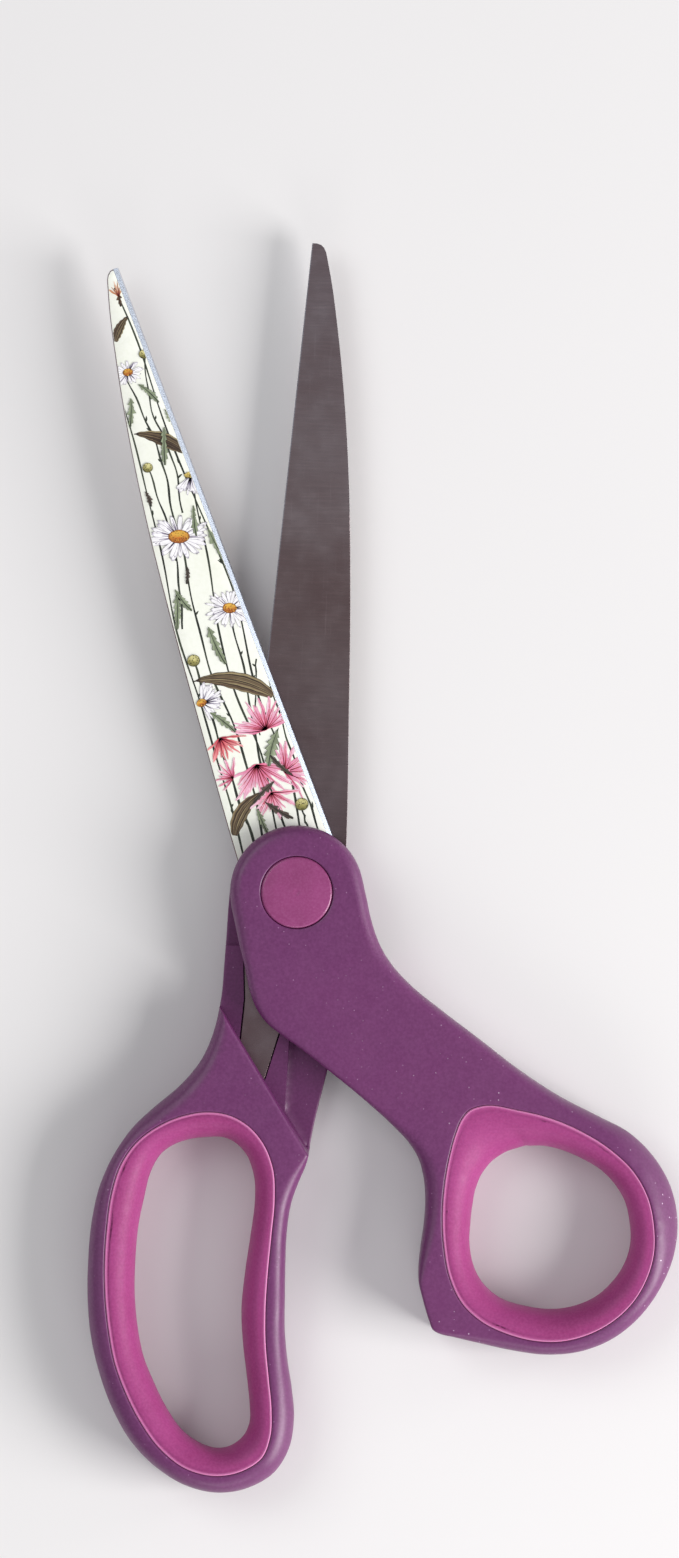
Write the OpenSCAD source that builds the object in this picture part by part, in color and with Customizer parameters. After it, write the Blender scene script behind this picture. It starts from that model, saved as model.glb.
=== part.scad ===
// Eight inch craft scissors with soft-lined finger loops.
// The row frame is that of the finger half: the pivot axis is +Z, the finger blade points along +Y,
// and the scissors lie flat on z = 0. Each half is drawn closed, in its own frame, with its blade
// along +Y; the thumb half is then turned about the pivot by the opening at rest.

/* [Opening] */
// Angle between the two blades as drawn
rest_open = 18.3; // [0:0.1:60]

/* [Blades] */
// Pivot to blade tip
blade_len = 105; // [95:1:108]
// Thickness of the blade stock
blade_t = 1.8; // [1.5:0.1:2.2]
// Distance from the pivot to the line of the cutting edge, at the pivot
edge_at_pivot = 8.8; // [8.4:0.1:9.2]
// The same distance at the tip
edge_at_tip = 1.4; // [1.2:0.1:1.8]
// Width of the ground bevel along the cutting edge
bevel_w = 0.8; // [0.7:0.05:1.5]
// Gap between the two inner faces
blade_gap = 0.1; // [0.06:0.02:0.2]
// Depth of the hollow grind in the inner face
hollow_depth = 0.12; // [0.05:0.01:0.2]

/* [Handles] */
// Thickness of the handles
handle_t = 11; // [10.5:0.5:12]
// Radius of the round plastic boss over the pivot
boss_r = 10.8; // [10.6:0.1:11]
// Width of the flat rim of each soft lining, as a share of the lining's width
grip_flat = 0.14; // [0.05:0.01:0.3]
// How far the hard core of each loop reaches into its lining, as a share of the lining's width
core_share = 0.4; // [0.2:0.05:0.6]
// Thickness of that core
core_t = 3; // [2:0.5:5]

/* [Pivot] */
// Radius of the screw's shoulder, on which the thumb blade turns
shoulder_r = 3; // [2.6:0.1:3.2]
// Running clearance of the thumb blade on the shoulder
shoulder_play = 0.05; // [0.02:0.01:0.08]
// Radius of the keyed neck that the finger blade sits on
neck_r = 3.5; // [3.3:0.1:3.8]
// Radius of the screw's thread
thread_r = 2; // [1.8:0.1:2.2]
// Radius of the screw's head
head_r = 4.8; // [4.4:0.1:5]
// Thickness of the screw's head
head_t = 1.6; // [1.2:0.1:2]
// Width of the nut across its flats
nut_af = 7; // [6.5:0.5:7.5]
// Radius of the round cap over the nut
cap_r = 5.8; // [5.6:0.1:6]

/* [Hidden] */
$fn = 64;
far = 130;

// ---- levels, from the table up ----
mid_z = handle_t / 2;
finger_in_z = mid_z - blade_gap / 2;     // inner face of the finger blade
finger_out_z = finger_in_z - blade_t;    // its outer face, towards the table
thumb_in_z = mid_z + blade_gap / 2;      // inner face of the thumb blade
thumb_out_z = thumb_in_z + blade_t;      // its outer face, upwards
rim_drop = 0.06;                         // the rim around a tang stays this far below its inner face

// ---- pivot stack ----
fit = 0.02;                              // room around a part that is seated for good
end_play = 0.05;                         // the thumb blade's free play along the pivot
shoulder_top_z = thumb_out_z + end_play;
thrust_t = 0.4;
spring_t = 0.25;
spring_rise = 0.2;
nut_t = 1.5;
thrust_z = shoulder_top_z;
spring_z = thrust_z + thrust_t;
nut_z = spring_z + spring_t + spring_rise;
screw_top_z = nut_z + nut_t + 0.1;
neck_flat = shoulder_r + 0.1;            // the neck's two flats clear the shoulder
washer_r = 4.6;
nut_pocket_r = 5;
cap_gap = 0.06;
cap_ledge_z = 8.8;
cap_lip_z = screw_top_z + 0.3;           // underside of the cap's top
cap_crown = 0.4;
cap_top_z = handle_t + 0.25;
skirt_r = nut_pocket_r + 0.1;
spanner_r = 0.7;
spanner_x = 3;

// ---- blade ----
edge_start = [edge_at_pivot, 0];
edge_end = [edge_at_tip, blade_len - 0.6];
edge_run = edge_end - edge_start;
edge_turn = atan2(-edge_run.x, edge_run.y);
edge_land = 0.06;                        // flat left on the cutting edge
bevel_start_y = 6;                       // the bevel runs out under the boss
hollow_w = 11;
hollow_start_y = 14;
tang_hole = [7.6, -30.9];
tang_hole_r = 1.4;

// Right of the blade axis is the cutting side. The list runs anticlockwise from the tip.
blade_outline = [[0.9, blade_len], [-0.5, blade_len - 0.2], [-1.4, blade_len - 1.4], [-2.4, 99], [-3.7, 91],
                 [-5.1, 80], [-6.3, 66], [-7.1, 48], [-7.5, 28], [-7.75, 11], [-7.7, 0], [-6.4, -8],
                 [-2.4, -16], [2.2, -23], [4.2, -30], [5.6, -33], [8, -34.4], [10.2, -33], [9.6, -29],
                 [8.3, -24], [7.8, -17.6], [8.3, -8], [8.8, 0]];

// ---- outlines of the handles: x, y and how far the edge is rounded there ----
finger_outline = [[-11, -2, 1.6], [-11.2, -7.3, 1.5], [-11.4, -12.3, 1.5], [-11.7, -17.4, 1.5],
                  [-12.6, -22.5, 1.8], [-14.6, -27.6, 2.2], [-17.9, -31.9, 2.4], [-21.8, -35.4, 2.3],
                  [-25.3, -38.9, 1.8], [-28.2, -43.3, 1.5], [-30.3, -48.4, 1.8], [-31.4, -54, 2.2],
                  [-31.8, -60.4, 2.4], [-31.7, -66.5, 2.5], [-31, -72.6, 2.6], [-29.5, -78.4, 2.6],
                  [-27.1, -84.4, 2.6], [-23.9, -89.6, 2.5], [-19.6, -93.7, 2.4], [-14.8, -96.4, 2.4],
                  [-9.6, -97.4, 2.5], [-4.6, -96.4, 2.7], [-0.6, -93.8, 2.8], [1.6, -90, 2.9],
                  [2.3, -85.5, 2.9], [1.8, -80.5, 2.7], [0.9, -75.6, 2.4], [0.35, -71, 2.2],
                  [0.2, -66, 2], [0.1, -60, 2], [0.2, -54.5, 2], [0.8, -50, 2], [1.9, -46.6, 1.8],
                  [2.9, -44, 1.2], [3.3, -42.4, 0.6], [3.5, -40.6, 0.6], [4.2, -36.5, 0.8],
                  [5.7, -29.6, 0.8], [7.5, -20.5, 0.8], [9.4, -11, 1], [10.5, -4, 1.4]];
thumb_outline = [[-11, -2, 1.6], [-11.3, -5.5, 1.4], [-11.5, -9.5, 1.2], [-11.8, -13.2, 1.1],
                 [-11.6, -16, 1], [-10.7, -18.7, 0.9], [-9.1, -21.1, 0.8], [-6.9, -23.9, 0.7],
                 [-3.6, -28.5, 0.7], [1.6, -36.2, 0.8], [4.4, -40.9, 1.2], [5.8, -43.7, 1.6],
                 [6.6, -46.5, 2], [6.6, -49.7, 2.2], [5.9, -53.3, 2.2], [4.6, -57, 2], [2.8, -61, 1.6],
                 [1.6, -64, 1], [1, -66.2, 0.5], [0.9, -68, 0.45], [0.9, -72.6, 0.45], [1, -73.8, 0.4],
                 [1.8, -74.7, 0.5], [3.8, -75.9, 0.8], [7.4, -78, 1.4], [12.2, -80.7, 1.9],
                 [17.4, -83, 1.9], [22.8, -84.1, 2], [28.2, -83.7, 2.2], [33.3, -81.7, 2.2],
                 [38.1, -78.1, 2.4], [41.8, -73.6, 3.1], [44, -68.4, 3.7], [44.5, -62.8, 3.9],
                 [43.2, -57.3, 3.7], [40.5, -52.5, 3.3], [36.5, -48.6, 2.8], [31.3, -43.6, 2.4],
                 [26.3, -37.7, 2], [21.6, -31.2, 1.9], [16.9, -24.8, 1.8], [13.3, -19.5, 1.7],
                 [11.3, -15.3, 1.7], [10.4, -11.3, 1.7], [10.3, -7.4, 1.7], [10.6, -3.6, 1.7]];

// ---- loops: each knot is a point on the lining's outer edge and the matching one on the hole ----
finger_loop = [[-13.2, -35.8, -13.2, -40.1], [-17.4, -36.6, -16, -40.5], [-21.4, -38.5, -18.8, -41.6],
               [-24.6, -41.1, -20.8, -43.3], [-26.9, -44.6, -22.2, -46.1], [-28.3, -49.4, -23.1, -50.2],
               [-28.9, -54.8, -23.9, -55], [-29.1, -60.8, -24.2, -60.8], [-28.8, -66.4, -24.1, -66],
               [-28.1, -71.6, -23.5, -71], [-27, -76.6, -22.4, -75.8], [-25.2, -81.2, -20.7, -79.7],
               [-22.6, -86, -18.6, -83.7], [-19.2, -90.4, -16, -87.3], [-14.9, -93.5, -13.1, -89.4],
               [-9.8, -94.5, -10, -90.3], [-5.4, -93.4, -7.4, -89.6], [-2.6, -91.3, -5.7, -88],
               [-1.4, -88, -4.9, -85.9], [-1.3, -83.6, -5, -82.8], [-1.9, -78.6, -5.6, -78.4],
               [-2.6, -72.8, -6.4, -73], [-2.8, -67, -6.8, -67.6], [-2.6, -61, -6.4, -61.6],
               [-2.2, -55, -5.7, -55.6], [-1.9, -49.6, -5.2, -50.2], [-2.4, -44.4, -5.5, -46],
               [-4.2, -40.4, -6.8, -42.7], [-6.8, -37.7, -8.7, -40.8], [-9.8, -36.2, -10.8, -40]];
thumb_loop = [[18.6, -41.4, 22.4, -49.8], [16.8, -41.5, 20.4, -49.9], [15.2, -42.5, 18.1, -50.6],
              [13.7, -44.3, 16, -52], [11.8, -47.3, 14.3, -54], [9.6, -51.6, 13, -56.4],
              [7.7, -56.6, 11.8, -59.2], [6.5, -61.6, 10.7, -62.4], [6, -66.4, 10.3, -66],
              [6.7, -71, 11, -69.3], [8.9, -74.8, 13, -72.3], [12.2, -77.8, 16, -74.4],
              [16.2, -80.2, 19.9, -76.2], [20.7, -81.6, 24, -76.9], [25.2, -81.7, 28, -76.4],
              [29.3, -80.8, 31.4, -74.7], [33.1, -78.9, 34, -72.4], [36.3, -76, 35.7, -69.6],
              [38.7, -72.3, 36.5, -66.4], [40, -68, 36.7, -63], [40.4, -63.4, 35.9, -59.8],
              [39.4, -58.7, 34.4, -57], [36.8, -54.1, 31.8, -54.2], [33.2, -50, 29.2, -52.1],
              [29, -46.5, 26.9, -50.8], [24.4, -43.8, 24.7, -50.1]];

// ---- where each handle stands to its full height; the rest of it is a shell on its own side ----
finger_shell = [[-20, -6.02], [-9.5, -22.3], [4.6, -44.2], [40, -44.2], [40, -6.02]];
thumb_shell = [[12.5, -6], [-40, -6], [-40, -44], [4.9, -44], [5.5, -41]];
rim_end_y = -9;                          // no rim above this line: the blade lies on the open shell
// ---- beside the tang the rim steps down to the shell ----
finger_pocket = [[30, -8], [30, -44.3], [4.7, -44.3], [-0.9, -35.6], [-0.8, -34], [-0.5, -24], [0.3, -18.4],
                 [3.4, -13.4], [8, -8]];
thumb_pocket = [[-30, -8], [-8, -8], [-3.4, -13.4], [-0.6, -18.4], [0.7, -24], [1.1, -30], [2.2, -36.5],
                [3.2, -43], [-30, -43]];

knot_steps = 3;                          // straight pieces between two knots of an outline
edge_rings = 3;                          // bands that round an edge
swell_rings = 4;                         // bands from a lining's rim to the middle of its hole

// A smooth closed curve through knots of any dimension, spaced by their distance apart in the plane.
function flat2(p) = [p[0], p[1]];
function gap_after(k, i) = norm(flat2(k[(i + 1) % len(k)]) - flat2(k[i]));
function slope_at(k, i) =
    let (n = len(k), a = gap_after(k, (i + n - 1) % n), b = gap_after(k, i))
    ((k[i] - k[(i + n - 1) % n]) * b / a + (k[(i + 1) % n] - k[i]) * a / b) / (a + b);
function between(k, i, t) =
    let (j = (i + 1) % len(k), d = gap_after(k, i))
    k[i] * (2 * t * t * t - 3 * t * t + 1) + slope_at(k, i) * d * (t * t * t - 2 * t * t + t)
    + k[j] * (3 * t * t - 2 * t * t * t) + slope_at(k, j) * d * (t * t * t - t * t);
function curve(k, n) = [for (i = [0 : len(k) - 1], s = [0 : n - 1]) between(k, i, s / n)];

// The boss is an arc about the pivot, closed by the knots of a handle.
boss_arc = [for (a = [10 : 15 : 175]) [boss_r * cos(a), boss_r * sin(a), 1.7]];
finger_curve = curve(concat(boss_arc, finger_outline), knot_steps);
thumb_curve = curve(concat(boss_arc, thumb_outline), knot_steps);
finger_ring = curve(finger_loop, knot_steps);
thumb_ring = curve(thumb_loop, knot_steps);

// A point of a closed curve moved inwards by a share of its own rounding.
function inward(p, i, share) =
    let (n = len(p), d = flat2(p[(i + 1) % n]) - flat2(p[(i + n - 1) % n]), u = d / norm(d))
    [p[i][0] - u.y * p[i][2] * share, p[i][1] + u.x * p[i][2] * share];

// Cuts a flat polygon into triangles by clipping one ear after another.
function turn3(a, b, c) = (b.x - a.x) * (c.y - a.y) - (b.y - a.y) * (c.x - a.x);
function holds(a, b, c, q) = turn3(a, b, q) >= 0 && turn3(b, c, q) >= 0 && turn3(c, a, q) >= 0;
function is_ear(p, ids, i) =
    let (n = len(ids), f = ids[(i + n - 1) % n], g = ids[i], h = ids[(i + 1) % n])
    turn3(p[f], p[g], p[h]) > 0
    && len([for (q = ids) if (q != f && q != g && q != h && holds(p[f], p[g], p[h], p[q])) q]) == 0;
function next_ear(p, ids, i) = is_ear(p, ids, i) ? i : next_ear(p, ids, i + 1);
function clip(p, ids, done) =
    len(ids) == 3 ? concat(done, [ids]) :
    let (n = len(ids), i = next_ear(p, ids, 0))
    clip(p, [for (k = [0 : n - 1]) if (k != i) ids[k]],
         concat(done, [[ids[(i + n - 1) % n], ids[i], ids[(i + 1) % n]]]));

// A slab whose upper and lower edges are rounded by the amount that each knot says.
module rounded_slab(points) {
    n = len(points);
    turns = [for (k = [0 : edge_rings]) 90 * k / edge_rings];
    low = [for (k = [edge_rings : -1 : 0], i = [0 : n - 1])
        let (q = inward(points, i, 1 - cos(turns[k])))
        [q.x, q.y, 1.35 * points[i][2] * (1 - sin(turns[k]))]];
    high = [for (k = [0 : edge_rings], i = [0 : n - 1])
        let (q = inward(points, i, 1 - cos(turns[k])))
        [q.x, q.y, handle_t - 1.35 * points[i][2] * (1 - sin(turns[k]))]];
    rings = 2 * (edge_rings + 1);
    sides = [for (r = [0 : rings - 2], i = [0 : n - 1])
        let (j = (i + 1) % n) [r * n + i, r * n + n + i, r * n + n + j, r * n + j]];
    cap = clip([for (i = [0 : n - 1]) inward(points, i, 1)], [for (i = [0 : n - 1]) i], []);
    base = [for (t = cap) [t[0], t[1], t[2]]];
    top = [for (t = cap) [for (k = [2, 1, 0]) (rings - 1) * n + t[k]]];
    polyhedron(concat(low, high), concat(sides, base, top), convexity = 8);
}

// A point a share of the way from the hole (0) to the lining's outer edge (1).
function across(p, share) = [p[2] + (p[0] - p[2]) * share, p[3] + (p[1] - p[3]) * share];

// A ring between a loop's two edges: upright outside, with an oval swell towards the hole.
module lined_ring(p) {
    n = len(p);
    rows = concat([[1, 0], [1, handle_t]],
        [for (k = [0 : 2 * swell_rings])
            let (a = 90 - 90 * k / swell_rings)
            [(1 - grip_flat) * (1 - cos(a)), mid_z * (1 + sin(a))]]);
    m = len(rows);
    points = [for (r = rows, i = [0 : n - 1])
        let (q = across(p[i], r[0])) [q.x, q.y, r[1]]];
    faces = [for (r = [0 : m - 1], i = [0 : n - 1])
        let (j = (i + 1) % n, s = (r + 1) % m) [r * n + i, r * n + j, s * n + j, s * n + i]];
    polyhedron(points, faces, convexity = 8);
}

module prism(points, z0, z1) {
    translate([0, 0, z0]) linear_extrude(z1 - z0) polygon([for (p = points) flat2(p)]);
}
module rod(r, z0, z1) {
    translate([0, 0, z0]) cylinder(r = r, h = z1 - z0);
}
module core_prism(p, z0, z1) {
    difference() {
        prism(p, z0, z1);
        prism([for (q = p) across(q, 1 - core_share)], z0 - 1, z1 + 1);
    }
}

// Both blades are the same stamping, inner face down at z = 0; the finger blade is turned over.
module blade_blank() {
    difference() {
        prism(blade_outline, 0, blade_t);
        // ground bevel
        translate([edge_start.x, edge_start.y, edge_land]) rotate([0, 0, edge_turn])
            rotate([0, -atan2(bevel_w, blade_t - edge_land), 0])
            translate([0, bevel_start_y, 0]) cube([10, far, 10]);
        // hollow grind
        hollow_r = (hollow_w * hollow_w / 4 + hollow_depth * hollow_depth) / (2 * hollow_depth);
        translate([edge_start.x, edge_start.y, hollow_depth - hollow_r]) rotate([0, 0, edge_turn])
            translate([-hollow_w / 2 - 0.35, hollow_start_y, 0]) rotate([-90, 0, 0])
            cylinder(r = hollow_r, h = far, $fn = 1440);
        translate([tang_hole.x, tang_hole.y, -1]) cylinder(r = tang_hole_r, h = 4);
    }
}

// The neck's round body with two flats, grown by a gap.
module neck(z0, z1, gap) {
    intersection() {
        rod(neck_r + gap, z0, z1);
        translate([-neck_flat - gap, -5, z0]) cube([2 * (neck_flat + gap), 10, z1 - z0]);
    }
}

// ---- finger half ----
module finger_blade() {
    color([0.33, 0.29, 0.31]) difference() {
        translate([0, 0, finger_in_z]) rotate([0, 180, 0]) blade_blank();
        neck(0, handle_t, fit);
    }
}

module finger_handle() {
    color([0.43, 0.23, 0.43]) difference() {
        rounded_slab(finger_curve);
        // open side of the shell
        translate([-60, rim_end_y, finger_out_z]) cube([120, 60, far]);
        prism(finger_shell, finger_in_z - rim_drop, far);
        prism(finger_pocket, finger_out_z, handle_t - 0.5);
        // seat of the blade
        difference() {
            prism([for (q = blade_outline) [-q.x, q.y]], finger_out_z, finger_in_z);
            translate([-tang_hole.x, tang_hole.y, 0]) cylinder(r = tang_hole_r - fit, h = far);
        }
        neck(-1, handle_t, fit);
        rod(head_r + fit, -1, head_t);
        // seat of the lining, around its core
        prism(finger_ring, -1, mid_z - core_t / 2);
        prism(finger_ring, mid_z + core_t / 2, far);
        prism([for (q = finger_ring) across(q, 1 - core_share)], 1, handle_t - 1);
    }
}

module finger_grip() {
    color([0.67, 0.29, 0.53]) difference() {
        lined_ring(finger_ring);
        core_prism(finger_ring, mid_z - core_t / 2, mid_z + core_t / 2);
    }
}

module pivot_screw() {
    color([0.62, 0.62, 0.64]) difference() {
        union() {
            rod(head_r, 0, head_t);
            neck(head_t, finger_in_z, 0);
            rod(shoulder_r, finger_in_z, shoulder_top_z);
            rod(thread_r, shoulder_top_z, screw_top_z);
        }
        for (x = [-spanner_x, spanner_x])
            translate([x, 0, -1]) cylinder(r = spanner_r, h = 2, $fn = 32);
    }
}

module thrust_washer() {
    color([0.82, 0.8, 0.74]) difference() {
        rod(washer_r, thrust_z, thrust_z + thrust_t);
        rod(thread_r + 0.1, thrust_z - 1, thrust_z + 1);
    }
}

module spring_washer() {
    // A coned disc: its outer rim stands on the thrust washer and its inner rim bears on the nut.
    color([0.5, 0.5, 0.52]) rotate_extrude() polygon([
        [thread_r + 0.1, spring_z + spring_rise], [washer_r - 0.4, spring_z],
        [washer_r - 0.4, spring_z + spring_t], [thread_r + 0.1, spring_z + spring_t + spring_rise]]);
}

module pivot_nut() {
    color([0.6, 0.6, 0.62]) difference() {
        rod(nut_af / 2 / cos(30), nut_z, nut_z + nut_t, $fn = 6);
        rod(thread_r + fit, nut_z - 1, nut_z + nut_t + 1);
    }
}

// ---- thumb half ----
module open_turn() {
    rotate([0, 0, rest_open]) children();
}

module thumb_blade() {
    color([0.93, 0.95, 0.87]) open_turn() difference() {
        translate([0, 0, thumb_in_z]) blade_blank();
        rod(shoulder_r + shoulder_play, 0, handle_t);
    }
}

module thumb_handle() {
    color([0.43, 0.23, 0.43]) open_turn() difference() {
        rounded_slab(thumb_curve);
        translate([-60, rim_end_y, thumb_out_z - far]) cube([120, 60, far]);
        prism(thumb_shell, -1, thumb_in_z + rim_drop);
        prism(thumb_pocket, 0.5, thumb_out_z);
        difference() {
            prism(blade_outline, thumb_in_z, thumb_out_z);
            translate([tang_hole.x, tang_hole.y, 0]) cylinder(r = tang_hole_r - fit, h = far);
        }
        // room for the nut and its washers, and the seat of the cap
        rod(nut_pocket_r, 1, far);
        rod(cap_r + cap_gap, cap_ledge_z, far);
        prism(thumb_ring, -1, mid_z - core_t / 2);
        prism(thumb_ring, mid_z + core_t / 2, far);
        prism([for (q = thumb_ring) across(q, 1 - core_share)], 1, handle_t - 1);
    }
}

module thumb_grip() {
    color([0.67, 0.29, 0.53]) open_turn() difference() {
        lined_ring(thumb_ring);
        core_prism(thumb_ring, mid_z - core_t / 2, mid_z + core_t / 2);
    }
}

module pivot_cap() {
    // A turned cap with a shallow crown; its skirt stands on a ledge around the nut.
    color([0.57, 0.27, 0.47]) rotate_extrude() polygon([
        [0, cap_lip_z], [skirt_r, cap_lip_z], [skirt_r, cap_ledge_z], [cap_r, cap_ledge_z],
        [cap_r, cap_top_z - cap_crown - 0.2], [cap_r - 0.2, cap_top_z - cap_crown],
        [cap_r * 0.7, cap_top_z - cap_crown * 0.45], [cap_r * 0.35, cap_top_z], [0, cap_top_z]]);
}

finger_blade();
thumb_blade();
finger_handle();
thumb_handle();
finger_grip();
thumb_grip();
pivot_screw();
thrust_washer();
spring_washer();
pivot_nut();
pivot_cap();
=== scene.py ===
"""Looks of the craft scissors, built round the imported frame.

Plan work is in millimetres, and each half is drawn closed, with its blade along +Y, as in the CAD.
The thumb half's objects are then turned about the pivot by the opening at rest.
"""
import random
from math import atan2, ceil, cos, degrees, hypot, pi, radians, sin, sqrt

import bpy
import numpy as np
from mathutils import Matrix, Vector
from mathutils.geometry import convex_hull_2d, delaunay_2d_cdt


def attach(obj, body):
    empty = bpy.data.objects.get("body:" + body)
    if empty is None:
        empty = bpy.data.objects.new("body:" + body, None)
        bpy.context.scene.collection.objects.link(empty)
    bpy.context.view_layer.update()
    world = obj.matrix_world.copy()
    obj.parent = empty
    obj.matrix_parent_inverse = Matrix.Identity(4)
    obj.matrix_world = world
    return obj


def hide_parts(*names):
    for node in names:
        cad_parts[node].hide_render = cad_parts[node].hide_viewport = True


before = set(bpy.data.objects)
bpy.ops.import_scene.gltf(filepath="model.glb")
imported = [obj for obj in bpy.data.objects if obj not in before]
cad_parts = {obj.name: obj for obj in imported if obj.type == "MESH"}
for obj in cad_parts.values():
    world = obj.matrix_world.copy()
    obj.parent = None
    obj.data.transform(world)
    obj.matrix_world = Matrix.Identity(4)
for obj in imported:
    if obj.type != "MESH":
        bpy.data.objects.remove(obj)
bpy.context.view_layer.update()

MM = 0.001
REST_OPEN = radians(18.3)
THUMB_TURN = Matrix.Rotation(REST_OPEN, 4, "Z")

# ---- levels above the table, as in the CAD ----
TOP = 11.0  # upper face of the handles
MID = 5.5  # where the two blades meet
BLADE_T = 1.8  # thickness of a blade
FINGER_IN, THUMB_IN = 5.45, 5.55  # inner faces of the blades
FINGER_OUT, THUMB_OUT = FINGER_IN - BLADE_T, THUMB_IN + BLADE_T
FINGER_RIM, THUMB_RIM = 5.39, 5.61  # rims of the shells round the tangs
CAP_TOP = 11.25


def polar(r, angle):
    """A point at r from the origin, at an angle in degrees."""
    return r * cos(radians(angle)), r * sin(radians(angle))


# ---- outlines, as in the CAD: x, y and how far the edge is rounded there ----
BOSS = [[*polar(10.8, a), 1.7] for a in range(10, 176, 15)]
FINGER_OUTLINE = BOSS + [
    [-11, -2, 1.6], [-11.2, -7.3, 1.5], [-11.4, -12.3, 1.5], [-11.7, -17.4, 1.5], [-12.6, -22.5, 1.8],
    [-14.6, -27.6, 2.2], [-17.9, -31.9, 2.4], [-21.8, -35.4, 2.3], [-25.3, -38.9, 1.8], [-28.2, -43.3, 1.5],
    [-30.3, -48.4, 1.8], [-31.4, -54, 2.2], [-31.8, -60.4, 2.4], [-31.7, -66.5, 2.5], [-31, -72.6, 2.6],
    [-29.5, -78.4, 2.6], [-27.1, -84.4, 2.6], [-23.9, -89.6, 2.5], [-19.6, -93.7, 2.4], [-14.8, -96.4, 2.4],
    [-9.6, -97.4, 2.5], [-4.6, -96.4, 2.7], [-0.6, -93.8, 2.8], [1.6, -90, 2.9], [2.3, -85.5, 2.9],
    [1.8, -80.5, 2.7], [0.9, -75.6, 2.4], [0.35, -71, 2.2], [0.2, -66, 2], [0.1, -60, 2], [0.2, -54.5, 2],
    [0.8, -50, 2], [1.9, -46.6, 1.8], [2.9, -44, 1.2], [3.3, -42.4, 0.6], [3.5, -40.6, 0.6],
    [4.2, -36.5, 0.8], [5.7, -29.6, 0.8], [7.5, -20.5, 0.8], [9.4, -11, 1], [10.5, -4, 1.4]]
THUMB_OUTLINE = BOSS + [
    [-11, -2, 1.6], [-11.3, -5.5, 1.4], [-11.5, -9.5, 1.2], [-11.8, -13.2, 1.1], [-11.6, -16, 1],
    [-10.7, -18.7, 0.9], [-9.1, -21.1, 0.8], [-6.9, -23.9, 0.7], [-3.6, -28.5, 0.7], [1.6, -36.2, 0.8],
    [4.4, -40.9, 1.2], [5.8, -43.7, 1.6], [6.6, -46.5, 2], [6.6, -49.7, 2.2], [5.9, -53.3, 2.2],
    [4.6, -57, 2], [2.8, -61, 1.6], [1.6, -64, 1], [1, -66.2, 0.5], [0.9, -68, 0.45], [0.9, -72.6, 0.45],
    [1, -73.8, 0.4], [1.8, -74.7, 0.5], [3.8, -75.9, 0.8], [7.4, -78, 1.4], [12.2, -80.7, 1.9],
    [17.4, -83, 1.9],
    [22.8, -84.1, 2], [28.2, -83.7, 2.2], [33.3, -81.7, 2.2], [38.1, -78.1, 2.4], [41.8, -73.6, 3.1],
    [44, -68.4, 3.7], [44.5, -62.8, 3.9], [43.2, -57.3, 3.7], [40.5, -52.5, 3.3], [36.5, -48.6, 2.8],
    [31.3, -43.6, 2.4], [26.3, -37.7, 2], [21.6, -31.2, 1.9], [16.9, -24.8, 1.8], [13.3, -19.5, 1.7],
    [11.3, -15.3, 1.7], [10.4, -11.3, 1.7], [10.3, -7.4, 1.7], [10.6, -3.6, 1.7]]
# Each knot of a loop is a point on the lining's outer edge and the matching one on the hole.
FINGER_LOOP = [
    [-13.2, -35.8, -13.2, -40.1], [-17.4, -36.6, -16, -40.5], [-21.4, -38.5, -18.8, -41.6],
    [-24.6, -41.1, -20.8, -43.3], [-26.9, -44.6, -22.2, -46.1], [-28.3, -49.4, -23.1, -50.2],
    [-28.9, -54.8, -23.9, -55], [-29.1, -60.8, -24.2, -60.8], [-28.8, -66.4, -24.1, -66],
    [-28.1, -71.6, -23.5, -71], [-27, -76.6, -22.4, -75.8], [-25.2, -81.2, -20.7, -79.7],
    [-22.6, -86, -18.6, -83.7], [-19.2, -90.4, -16, -87.3], [-14.9, -93.5, -13.1, -89.4],
    [-9.8, -94.5, -10, -90.3], [-5.4, -93.4, -7.4, -89.6], [-2.6, -91.3, -5.7, -88],
    [-1.4, -88, -4.9, -85.9], [-1.3, -83.6, -5, -82.8], [-1.9, -78.6, -5.6, -78.4],
    [-2.6, -72.8, -6.4, -73], [-2.8, -67, -6.8, -67.6], [-2.6, -61, -6.4, -61.6],
    [-2.2, -55, -5.7, -55.6], [-1.9, -49.6, -5.2, -50.2], [-2.4, -44.4, -5.5, -46],
    [-4.2, -40.4, -6.8, -42.7], [-6.8, -37.7, -8.7, -40.8], [-9.8, -36.2, -10.8, -40]]
THUMB_LOOP = [
    [18.6, -41.4, 22.4, -49.8], [16.8, -41.5, 20.4, -49.9], [15.2, -42.5, 18.1, -50.6],
    [13.7, -44.3, 16, -52], [11.8, -47.3, 14.3, -54], [9.6, -51.6, 13, -56.4], [7.7, -56.6, 11.8, -59.2],
    [6.5, -61.6, 10.7, -62.4], [6, -66.4, 10.3, -66], [6.7, -71, 11, -69.3], [8.9, -74.8, 13, -72.3],
    [12.2, -77.8, 16, -74.4], [16.2, -80.2, 19.9, -76.2], [20.7, -81.6, 24, -76.9],
    [25.2, -81.7, 28, -76.4], [29.3, -80.8, 31.4, -74.7], [33.1, -78.9, 34, -72.4], [36.3, -76, 35.7, -69.6],
    [38.7, -72.3, 36.5, -66.4], [40, -68, 36.7, -63], [40.4, -63.4, 35.9, -59.8], [39.4, -58.7, 34.4, -57],
    [36.8, -54.1, 31.8, -54.2], [33.2, -50, 29.2, -52.1], [29, -46.5, 26.9, -50.8],
    [24.4, -43.8, 24.7, -50.1]]
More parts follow.
